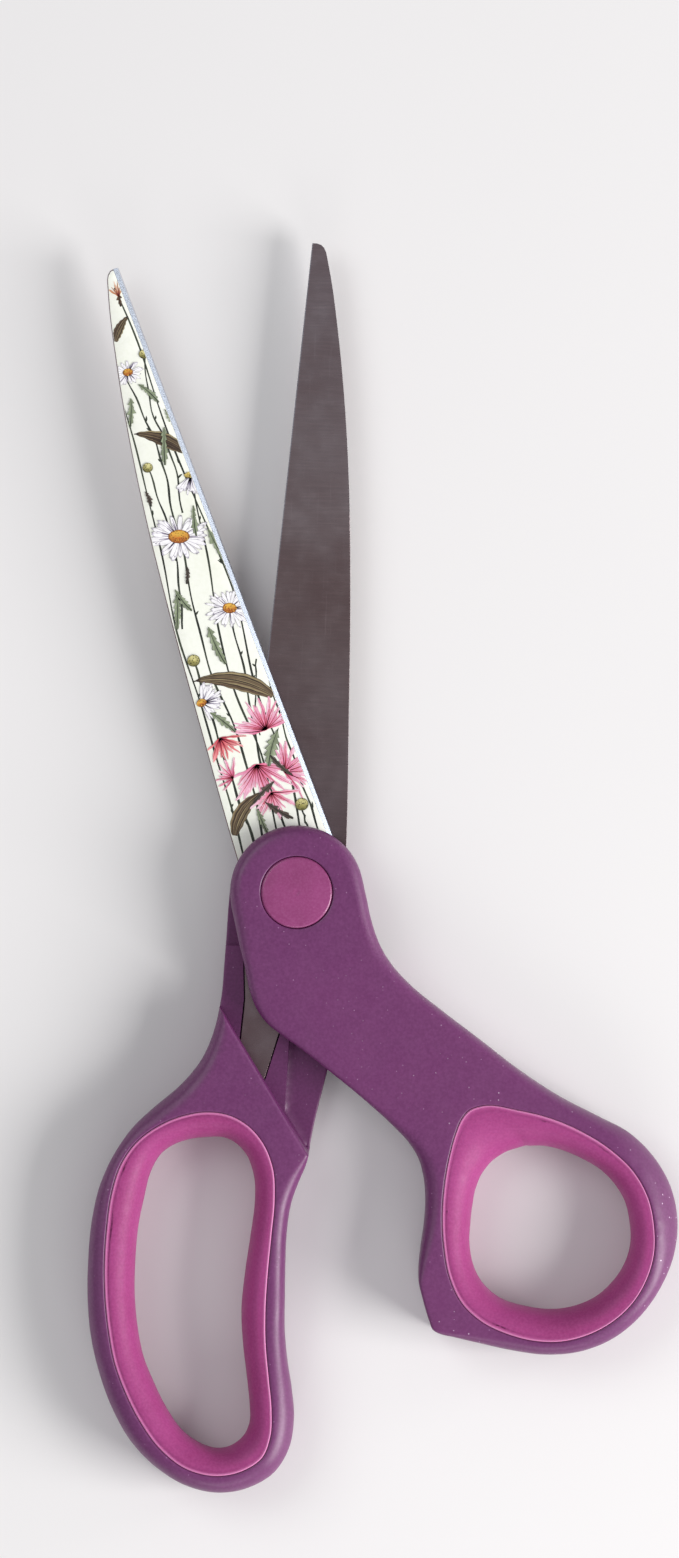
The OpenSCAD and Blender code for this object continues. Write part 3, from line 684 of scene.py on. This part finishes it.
# ======== the print
class Print:
    """Thin ink on the enamel. Every shape is cut off at the enamel's own outline."""

    def __init__(self, region, base):
        self.base, self.points, self.faces, self.colours = base, [], [], []
        loop = region[:, :2]
        edge = np.roll(loop, -1, 0) - loop
        self.normals = np.column_stack([-edge[:, 1], edge[:, 0]]) / np.linalg.norm(edge, axis=1)[:, None]
        self.offsets = (self.normals * loop).sum(1)

    def triangle(self, corners, z):
        """corners: x, y, r, g, b of each; what is outside the convex region is cut off."""
        out = [np.array(c, float) for c in corners]
        gaps = np.array([c[:2] for c in out]) @ self.normals.T - self.offsets
        if (gaps.max(0) < 0).any():
            return
        for k in np.where(gaps.min(0) < 0)[0]:
            kept = []
            for i, b in enumerate(out):
                a = out[i - 1]
                ga, gb = a[:2] @ self.normals[k] - self.offsets[k], b[:2] @ self.normals[k] - self.offsets[k]
                if (ga < 0) != (gb < 0):
                    kept.append(a + (b - a) * ga / (ga - gb))
                if gb >= 0:
                    kept.append(b)
            out = kept
            if len(out) < 3:
                return
        start = len(self.points)
        self.points += [[c[0], c[1], self.base + z] for c in out]
        self.colours += [c[2:5] for c in out]
        self.faces.append(list(range(start, start + len(out))))

    def sheet(self, grid, z):
        """grid: rows of corners; neighbours become two triangles each, always facing up."""
        for r0, r1 in zip(grid, grid[1:]):
            for a, b, c, d in zip(r0, r0[1:], r1[1:], r1):
                for p, q, r in ((a, b, c), (a, c, d)):
                    turn = (q[0] - p[0]) * (r[1] - p[1]) - (q[1] - p[1]) * (r[0] - p[0])
                    if abs(turn) > 1e-7:
                        self.triangle((p, q, r) if turn > 0 else (r, q, p), z)

    def ribbon(self, path, half, colour, z, steps, columns=(-1, 0, 1)):
        """A strip along path(t) whose half width is half(t, side) and whose ink is colour(t, across)."""
        grid = []
        for i in range(steps + 1):
            t = i / steps
            x, y = path(t)
            x0, y0 = path(max(0, t - 0.01))
            x1, y1 = path(min(1, t + 0.01))
            n = hypot(x1 - x0, y1 - y0) or 1
            nx, ny = -(y1 - y0) / n, (x1 - x0) / n
            row = []
            for v in columns:
                w = half(t, 1 if v > 0 else -1) * v
                row.append([x + nx * w, y + ny * w, *colour(t, v)])
            grid.append(row)
        self.sheet(grid, z)

    def disc(self, x, y, rx, ry, turn, colour, z, count, rings):
        """An oval whose ink is colour(share of the radius, angle)."""
        grid = []
        for k in range(rings + 1):
            rho = k / rings
            row = []
            for i in range(count + 1):
                a = 2 * pi * i / count
                spot = turned(x, y, rx * rho * cos(a), ry * rho * sin(a), turn)
                row.append([*spot, *colour(rho, a)])
            grid.append(row)
        self.sheet(grid, z)


def turned(x, y, u, v, turn):
    """The point at u, v from x, y, once that offset is turned by an angle."""
    return x + u * cos(turn) - v * sin(turn), y + u * sin(turn) + v * cos(turn)


def mix(a, b, t):
    t = min(1, max(0, t))
    return tuple(p + (q - p) * t for p, q in zip(a, b))


def arc(x, y, angle, length, bend=0.0):
    """A path from x, y in a direction of degrees that turns by bend degrees along the way."""
    def at(t):
        if abs(bend) < 1e-3:
            a = radians(angle)
            return x + length * t * cos(a), y + length * t * sin(a)
        a0, a1 = radians(angle), radians(angle + bend * t)
        r = length / radians(bend)
        return x + r * (sin(a1) - sin(a0)), y - r * (cos(a1) - cos(a0))
    return at


STEM, STEM_LIGHT = rgb(38, 42, 38), rgb(84, 92, 74)
LEAF, LEAF_LIGHT = rgb(78, 88, 66), rgb(166, 178, 146)
PETAL, PETAL_SHADE, LINE = rgb(254, 252, 254), rgb(214, 204, 230), rgb(74, 62, 86)
ORANGE, ORANGE_DARK, YELLOW = rgb(206, 122, 50), rgb(104, 56, 26), rgb(226, 178, 76)
BROWN, BROWN_DARK, TAN = rgb(118, 96, 74), rgb(56, 44, 38), rgb(186, 172, 128)
OLIVE, OLIVE_DARK, OLIVE_LIGHT = rgb(166, 158, 90), rgb(58, 58, 38), rgb(214, 206, 142)
PINK, PINK_PALE, CORAL = rgb(226, 118, 160), rgb(250, 214, 230), rgb(222, 88, 98)
CRIMSON = rgb(120, 34, 58)
RIM = (-1, -0.74, 0, 0.74, 1)  # across a shape whose rim is darker
# Ink shapes that overlap lie at their own heights above the enamel, in hair-thin steps.
STEP = 0.0013
STEMS, PODS, BLOSSOMS, DAISIES, EYES, LEAVES = 0, 0.018, 0.027, 0.085, 0.118, 0.123


def taper(width, loss):
    """The half width of a line that thins out."""
    return lambda t, side: width * (1 - loss * t)


rnd = random.Random(417)  # every random draw of the print, in order


def draw_stem(ink, points, width, height, ticks):
    """A thin wavering stem through a few points, with small side shoots."""
    line = smooth(points, 1.1, False)
    drift = rnd.uniform(0, 6)

    def path(t):
        k = t * (len(line) - 1)
        i = min(int(k), len(line) - 2)
        p = line[i] + (line[i + 1] - line[i]) * (k - i)
        return p[0] + 0.12 * sin(drift + 23 * t), p[1]
    ink.ribbon(path, lambda t, side: width * (1.3 - 0.35 * t + 0.2 * sin(31 * t + drift)),
               lambda t, v: mix(STEM, STEM_LIGHT, 0.1 + 0.35 * abs(v) + 0.3 * sin(17 * t + drift)),
               height, max(12, len(line)))
    for _ in range(ticks):
        x, y = path(rnd.uniform(0.08, 0.92))
        heading = 90 + rnd.choice((-1, 1)) * rnd.uniform(20, 50)
        ink.ribbon(arc(x, y, heading, rnd.uniform(0.7, 1.7), rnd.uniform(-30, 30)),
                   lambda t, side: 0.16 * sin(pi * min(1, 0.12 + 0.88 * t)),
                   lambda t, v: mix(STEM, LEAF, 0.5 * t), height + STEP / 2, 5)


def draw_daisy(ink, x, y, r, lift, turn, petals, spread, base):
    """Two rounds of narrow petals, each with a fine dark rim, seen at a slant."""
    def slanted(angle):
        """A petal's heading, and how much of its length shows."""
        c, s = polar(1, angle)
        return degrees(atan2(s * lift, c)) + turn, hypot(c, s * lift)

    for k in range(2 * petals):
        second = k >= petals
        place = k % petals + 0.5 * second + rnd.uniform(-0.3, 0.3)
        heading, shown = slanted(spread[0] + (spread[1] - spread[0]) * place / petals)
        reach = r * rnd.uniform(0.8, 1.04) * (0.88 if second else 1) * shown
        wide = r * rnd.uniform(0.045, 0.078)
        line, tone = rnd.uniform(-0.2, 0.4), rnd.uniform(0.6, 1.3)

        def half(t, side):
            tip = sqrt(max(0.03, 1 - max(0, (t - 0.7) / 0.3) ** 2))
            return wide * (0.3 + 0.7 * min(1, t * 1.6)) * tip + 0.02

        def colour(t, v):
            if abs(v) > 0.9 or t > 0.97:
                return mix(LINE, PETAL_SHADE, line + 0.25 * t)
            return mix(PETAL_SHADE, PETAL, tone + 1.2 * t - 0.4 * max(0, v))
        ink.ribbon(arc(x, y, heading + rnd.uniform(-5, 5), reach, rnd.uniform(-16, 16)), half, colour,
                   base + STEP * (k % 6 + 6 * second), 9, RIM)
    for _ in range(petals):
        heading, shown = slanted(rnd.uniform(*spread))
        ink.ribbon(arc(x, y, heading, r * rnd.uniform(0.4, 0.8) * shown), taper(0.12, 0.7),
                   lambda t, v: mix(LINE, PETAL_SHADE, 0.45 * t), base + STEP * 12, 6)


def draw_centre(ink, x, y, rx, ry, turn, top=YELLOW, body=ORANGE, rim=ORANGE_DARK):
    """A daisy's eye, stippled."""
    def colour(rho, a):
        if rho > 0.99:
            return rim
        return mix(mix(body, top, 0.45 + 0.55 * sin(a)), rim, 0.5 * rho * (0.4 - sin(a)))
    ink.disc(x, y, rx, ry, turn, colour, EYES, 24, 5)
    for _ in range(int(30 * rx)):
        a, q = rnd.uniform(0, 6.283), sqrt(rnd.uniform(0, 0.95))
        spot = turned(x, y, rx * q * cos(a), ry * q * sin(a), turn)
        tone = rnd.choice((rim, rim, body, top))
        ink.disc(*spot, 0.1, 0.08, 0, lambda rho, b: tone, EYES + STEP * rnd.choice((1, 2, 3)), 6, 1)


def draw_leaf(ink, x, y, angle, length, width, dark=LEAF, light=LEAF_LIGHT, teeth=6, bend=12, height=LEAVES):
    """A toothed leaf: dark rim and midrib, paler between them."""
    lean = [rnd.uniform(0.6, 1.2) for _ in range(2 * teeth + 2)]
    path = arc(x, y, angle, length, bend)

    def half(t, side):
        k = t * teeth + (0.4 if side > 0 else 0)
        body = sin(pi * min(1, 0.02 + t * 0.98)) ** 0.7
        return width * body * (0.34 + 0.66 * (1 - k % 1)) * lean[int(k) % len(lean)] + 0.04

    def colour(t, v):
        if abs(v) > 0.9:
            return mix(STEM, dark, 0.35)
        return mix(dark, light, 0.35 + 0.8 * abs(v) * (0.7 + 0.45 * sin(9 * t + 3 * v)))
    ink.ribbon(path, half, colour, height, teeth * 6, (-1, -0.78, -0.2, 0, 0.2, 0.78, 1))
    ink.ribbon(path, taper(0.08, 0.7), lambda t, v: STEM, height + STEP, 12)


def draw_pod(ink, x, y, angle, length, width, bend, height):
    """A dry seed pod: a swollen base, a thin drawn-out tip, and long streaks."""
    streak = [rnd.choice((0.05, 0.35, 0.7, 1)) for _ in range(23)]
    path = arc(x, y, angle, length, bend)

    def half(t, side):
        swell = sin(pi * min(1, 0.04 + 0.98 * t) ** 0.8) ** 0.9
        return width * swell * (1 if side > 0 else 0.7) + 0.1 + 0.05 * sin(37 * t)

    def colour(t, v):
        if abs(v) > 0.95 or t > 0.9:
            return BROWN_DARK
        k = (v + 1) * 9 + 0.8 * sin(5 * t)
        a, b = streak[int(k) % 23], streak[(int(k) + 1) % 23]
        s = a + (b - a) * (k % 1)
        tan = 1.1 * max(0, s - 0.5) + 0.3 * max(0, -v) * sin(pi * t)
        return mix(mix(BROWN_DARK, BROWN, 1.3 * s), TAN, tan)
    ink.ribbon(path, half, colour, height, 30, tuple(np.linspace(-1, 1, 25)))
    for v in (-0.55, 0.1, 0.6):
        def vein(t):
            (x0, y0), (x1, y1) = path(t), path(min(1, t + 0.01))
            n = hypot(x1 - x0, y1 - y0) or 1
            w = half(t, 1 if v > 0 else -1) * v
            return x0 - (y1 - y0) / n * w, y0 + (x1 - x0) / n * w
        ink.ribbon(vein, lambda t, side: 0.09 * sin(pi * min(1, 0.1 + 0.88 * t)),
                   lambda t, w: BROWN_DARK, height + STEP * 0.5, 20)


def draw_seed(ink, x, y, r):
    """A round seed head, lit from above and stippled."""
    def colour(rho, a):
        if rho > 0.99:
            return OLIVE_DARK
        lit = sin(a + 0.4)
        return mix(mix(OLIVE, OLIVE_LIGHT, 0.5 + 0.6 * lit), OLIVE_DARK, rho * (0.35 - 0.4 * lit))
    ink.disc(x, y, r, r * 0.92, 0, colour, EYES, 26, 6)
    for _ in range(int(24 * r)):
        a, q = rnd.uniform(0, 6.283), sqrt(rnd.uniform(0, 0.8)) * r
        ink.disc(x + q * cos(a), y + q * sin(a), 0.08, 0.08, 0, lambda rho, b: OLIVE_DARK,
                 EYES + STEP, 6, 1)


def draw_blossom(ink, x, y, r, spread, petals, pale=PINK_PALE, body=PINK, deep=CORAL, base=BLOSSOMS):
    """Ragged, streaky petals fanned over an angle, with gaps between them."""
    for k in range(petals):
        a = spread[0] + (spread[1] - spread[0]) * (k + rnd.uniform(-0.3, 1.3)) / petals
        wide, ragged = r * rnd.uniform(0.035, 0.078), rnd.uniform(0, 6)
        tone = [rnd.uniform(0, 1) for _ in range(5)]
        path = arc(x, y, a, r * rnd.uniform(0.55, 1.1), rnd.uniform(-30, 30))

        def half(t, side):
            swell = sin(pi * min(1, 0.08 + 0.86 * t)) ** 0.6
            return wide * swell * (0.85 + 0.3 * sin(14 * t + ragged * side))

        def colour(t, v):
            shade = tone[int((v + 1) * 2)]
            return mix(mix(deep, body, 0.3 + 0.5 * shade + t), pale, (1.1 * t - 0.25) * (0.4 + 1.2 * shade))
        ink.ribbon(path, half, colour, base + STEP * (k % 6), 11, (-1, -0.5, 0, 0.5, 1))
        if k % 3:
            ink.ribbon(path, taper(0.085, 0.8), lambda t, v: mix(CRIMSON, deep, t), base + STEP * 6.5, 8)


def meadow(ink):
    """A loose wild-flower meadow of general kinds, in an arrangement of this script's own."""
    stems = (
        ([(-6.6, 7), (-6.2, 26), (-6.6, 45), (-5.0, 66), (-4.6, 84)], 0.13, 4),
        ([(-4.2, 7), (-5.0, 22), (-5.4, 40)], 0.17, 1),
        ([(-3.0, 7), (-1.9, 24), (-3.3, 40), (-1.9, 60)], 0.15, 3),
        ([(-0.6, 7), (0.7, 23), (-0.6, 38), (1.0, 52), (2.7, 69)], 0.14, 3),
        ([(1.6, 7), (0.4, 22), (1.9, 36), (2.4, 46.5)], 0.15, 2),
        ([(3.2, 7), (4.2, 18), (3.1, 33), (3.9, 51), (1.2, 74), (0.5, 92), (-0.7, 102)], 0.13, 5),
        ([(5.2, 7), (4.6, 10), (4.7, 13)], 0.15, 0),
        ([(6.3, 8), (5.6, 22), (5.4, 36)], 0.13, 2),
        ([(-5.6, 46), (-3.4, 58), (-3.6, 72)], 0.13, 1),
        ([(-2.2, 62), (-1.2, 72), (-2.9, 88)], 0.13, 3),
        ([(-0.4, 64), (0.6, 72), (-0.4, 82), (0.9, 90)], 0.11, 2),
        ([(4.4, 38), (2.2, 31), (1.4, 26)], 0.1, 1))
    for k, (points, width, ticks) in enumerate(stems):
        draw_stem(ink, points, width, STEMS + STEP * k, ticks)
    for k, pod in enumerate((
            (5.4, 31.6, 128, 13.6, 1.6, 52), (2.9, 73.4, 122, 9.0, 1.2, 46), (-7.0, 11.6, 66, 8.6, 1.25, -50),
            (-2.9, 93.6, 60, 4.6, 0.75, -24))):
        draw_pod(ink, *pod, PODS + 2 * STEP * k)
    # pink blossoms crowd the root of the blade
    for k, blossom in enumerate((
            (2.6, 26.6, 5.2, (10, 185), 30), (3.6, 19.2, 5.0, (-70, 100), 26),
            (-0.4, 21.6, 6.2, (195, 340), 28),
            (0.6, 16.6, 4.6, (190, 350), 18, PINK_PALE, rgb(236, 140, 170)),
            (-4.9, 27.4, 4.0, (215, 350), 18, rgb(246, 182, 182), CORAL, rgb(190, 60, 70)),
            (-4.6, 20.6, 3.4, (70, 220), 14))):
        draw_blossom(ink, *blossom, base=BLOSSOMS + 7.5 * STEP * k)
    # daisies: place, size, slant, turn, petals, the angles they fill, height, and the eye
    full = (0, 360)
    for *daisy, eye in (
            (2.6, 47.0, 4.0, 0.85, -18, 17, full, DAISIES, (2.6, 47.1, 1.15, 0.85, -0.3)),
            (-2.0, 60.4, 5.3, 0.74, -14, 21, full, DAISIES + 13 * STEP, (-2.0, 60.5, 1.75, 1.1, -0.25)),
            (-2.4, 88.2, 2.7, 0.8, 10, 15, full, DAISIES, (-2.4, 88.3, 0.85, 0.62, -0.1)),
            (2.6, 69.4, 3.6, 0.9, 0, 12, (208, 332), DAISIES,
             (2.6, 69.6, 1.0, 0.5, -0.05, rgb(232, 206, 120), rgb(196, 170, 84), rgb(104, 88, 46))),
            (-6.0, 33.6, 3.6, 0.95, 0, 14, (-80, 90), DAISIES, (-6.1, 33.7, 0.85, 0.65, 0.1))):
        draw_daisy(ink, *daisy)
        draw_centre(ink, *eye)
    for seed in ((-5.4, 40.6, 1.05), (0.9, 90.4, 0.8), (4.8, 13.4, 1.1), (-3.7, 72.6, 0.85)):
        draw_seed(ink, *seed)
    for k, leaf in enumerate((
            (-0.6, 38.6, 106, 6.6, 0.95), (4.3, 54.6, 112, 6.0, 0.8), (-0.9, 72.2, 78, 6.2, 0.75),
            (1.0, 82.2, 112, 4.4, 0.65), (-4.6, 79.6, 66, 4.8, 0.7), (-6.6, 46.2, 68, 5.6, 0.85),
            (-2.2, 27.6, 118, 5.2, 0.8), (1.4, 20.8, 70, 6.0, 1.05), (-3.4, 48.4, 122, 4.4, 0.6),
            (-1.8, 10.2, 100, 4.6, 0.6), (0.7, 59.8, 84, 5.0, 0.6), (2.5, 77.2, 100, 3.8, 0.5))):
        draw_leaf(ink, *leaf, bend=rnd.uniform(-22, 22), height=LEAVES + 2 * STEP * (k % 3))
    for k, leaf in enumerate((
            (5.0, 43.4, 58, 2.8, 0.6), (2.8, 11.6, 140, 5.2, 0.6), (-2.6, 15.8, 36, 4.8, 0.6),
            (-3.0, 52.8, 60, 2.8, 0.5), (-4.9, 66.4, 84, 2.6, 0.45), (2.2, 22.4, 290, 4.8, 0.5))):
        draw_leaf(ink, *leaf, rgb(44, 36, 36), rgb(104, 90, 80), 5, rnd.uniform(-25, 25),
                  LEAVES + STEP * (6 + 2 * (k % 3)))
    # a small orange blossom and its leaf near the tip
    draw_blossom(ink, -0.3, 100.4, 2.4, (60, 130), 7, rgb(244, 214, 190), rgb(206, 130, 76),
                 rgb(130, 68, 42))
    draw_leaf(ink, -0.5, 98.8, 84, 2.1, 0.45, rgb(60, 44, 40), rgb(120, 92, 70), 3, 0, PODS)


# ======== build the pieces
PLASTIC, SOFT, CAP, INK, ENAMEL = moulded_plastic(), soft_lining(), cap_plastic(), print_ink(), enamel()
THUMB_STEEL, FINGER_STEEL = steel("thumb_steel", REST_OPEN, 1, True), steel("finger_steel", 0.0, -1, False)
PIN_STEEL = turned_steel()

finger_seat = np.column_stack([-blade_line[::-1, 0], blade_line[::-1, 1]])
verts, faces = handle(FINGER_OUTLINE, FINGER_LOOP, FINGER_SHELL, FINGER_POCKET, finger_seat,
                      (-TANG_HOLE[0], TANG_HOLE[1]), FINGER_BORE, True)
make_object("finger_handle_moulding", verts, faces, "finger_half", PLASTIC, "finger_handle")
verts, faces = handle(THUMB_OUTLINE, THUMB_LOOP, THUMB_SHELL, THUMB_POCKET, blade_line, TANG_HOLE,
                      THUMB_BORE, False)
make_object("thumb_handle_moulding", verts, faces, "thumb_half", PLASTIC, "thumb_handle")

for name, loop in (("finger", FINGER_LOOP), ("thumb", THUMB_LOOP)):
    verts, faces, tint = lining(loop)
    make_object(name + "_soft_lining", verts, faces, name + "_half", SOFT, name + "_grip",
                40, tint, "lip")

verts, faces = blade()
make_object("thumb_blade_steel", verts + [0, 0, THUMB_IN], faces, "thumb_half", THUMB_STEEL,
            "thumb_blade", 24)
mirrored = np.column_stack([-verts[:, 0], verts[:, 1], FINGER_IN - verts[:, 2]])
make_object("finger_blade_steel", mirrored, faces, "finger_half", FINGER_STEEL,
            "finger_blade", 24)

# enamel: the outer face from under the boss to the tip, short of the spine's chamfer and of the bevel
spine_count = 4 + len(smooth(SPINE, 1.0, False))
spine_side = inset(blade_line, 0.16)[:spine_count]
left = np.array([p for p in spine_side if p[1] > 5 and (p - EDGE_FROM) @ from_edge > BEVEL_W + 0.1])
cut = EDGE_FROM + from_edge * (BEVEL_W + 0.03)
right_low, right_high = cut + along_edge * 6, cut + along_edge * ((left[0] - cut) @ along_edge - 0.1)
region = dense(np.vstack([left, [[left[-1][0], 5]], [right_low], [right_high]]), 0.8)
enamel_top = THUMB_OUT + 0.022
verts, faces = plate([region], [inset(region, 0.05)],
                     lambda p: enamel_top - round_off(nearest(p, region)[0], 0.05, 0.3),
                     lambda p: np.full(len(p), THUMB_OUT - 0.004), 2.0)
make_object("thumb_blade_enamel", verts, faces, "thumb_half", ENAMEL, sharp=60)
hull = inset(region, 0.06)
hull = hull[convex_hull_2d(hull.tolist())]
ink = Print(hull, enamel_top + 0.001)
meadow(ink)
make_object("thumb_blade_print", ink.points, ink.faces, "thumb_half", INK, sharp=60,
            colours=np.array(ink.colours))

# the cap's section: a small centre mark, a shallow dome, a rounded rim, the side and the hollow underside
CAP_FLAT_R, CAP_SAG, CAP_ROUND = 5.3, 0.27, 0.5
profile = [(0, CAP_TOP - 0.05), (0.3, CAP_TOP - 0.05), (0.42, CAP_TOP - 0.02), (0.55, CAP_TOP)]
profile += [(r, CAP_TOP - CAP_SAG * (r / CAP_FLAT_R) ** 2.2) for r in np.linspace(0.9, CAP_FLAT_R, 12)]
for a in range(12, 91, 13):
    c, s = polar(1, a)
    profile.append((CAP_FLAT_R + CAP_ROUND * s, CAP_TOP - CAP_SAG - CAP_ROUND * (1 - c)))
profile += [(5.8, 8.82), (5.1, 8.8), (5.1, 10.1), (0, 10.1)]
verts, faces = lathe(profile[::-1])
make_object("pivot_cap_turned", verts, faces, "thumb_half", CAP, "pivot_cap", 35)

for node, material in (("pivot_screw", PIN_STEEL), ("spring_washer", PIN_STEEL), ("pivot_nut", PIN_STEEL),
                       ("thrust_washer", nylon())):
    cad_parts[node].data.materials.clear()
    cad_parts[node].data.materials.append(material)

# ======== floor, light, camera
mesh = bpy.data.meshes.new("floor")
mesh.from_pydata([(-3, -3, -0.0001), (3, -3, -0.0001), (3, 3, -0.0001), (-3, 3, -0.0001)], [], [(0, 1, 2, 3)])
mesh.materials.append(floor_paint())
floor = add_object("floor", mesh)

world = bpy.data.worlds.new("studio")
bpy.context.scene.world = world
world.use_nodes = True
sky = world.node_tree.nodes["Background"].inputs
sky["Color"].default_value = (0.86, 0.87, 0.9, 1)
sky["Strength"].default_value = 0.37


def softbox(name, place, size, power, tint=(1, 1, 1)):
    """A rectangular light, aimed near the pivot."""
    data = bpy.data.lights.new(name, "AREA")
    data.shape, data.size, data.size_y, data.energy, data.color = "RECTANGLE", size[0], size[1], power, tint
    light = add_object(name, data)
    light.location = place
    light.rotation_mode = "QUATERNION"
    light.rotation_quaternion = (Vector((0.01, 0.01, 0)) - Vector(place)).to_track_quat("-Z", "Y")


softbox("key", (1.05, -0.32, 0.56), (0.7, 0.7), 18, (1, 0.99, 0.98))
softbox("fill", (-0.8, 0.5, 1.05), (0.9, 0.9), 5, (0.98, 0.99, 1))
softbox("low", (0.1, -1.15, 0.5), (0.9, 0.4), 3.5)
softbox("rim", (1.15, 0.42, 0.3), (0.3, 0.3), 1.5)

camera = bpy.data.cameras.new("camera")
camera.lens, camera.sensor_width = 200, 36
eye = add_object("camera", camera)
eye.location = (0.0063, 0.0185, 1.406)
eye.rotation_euler = (0, 0, radians(1.85))
bpy.context.scene.camera = eye
bpy.context.scene.view_settings.view_transform = "Standard"

bpy.context.view_layer.update()
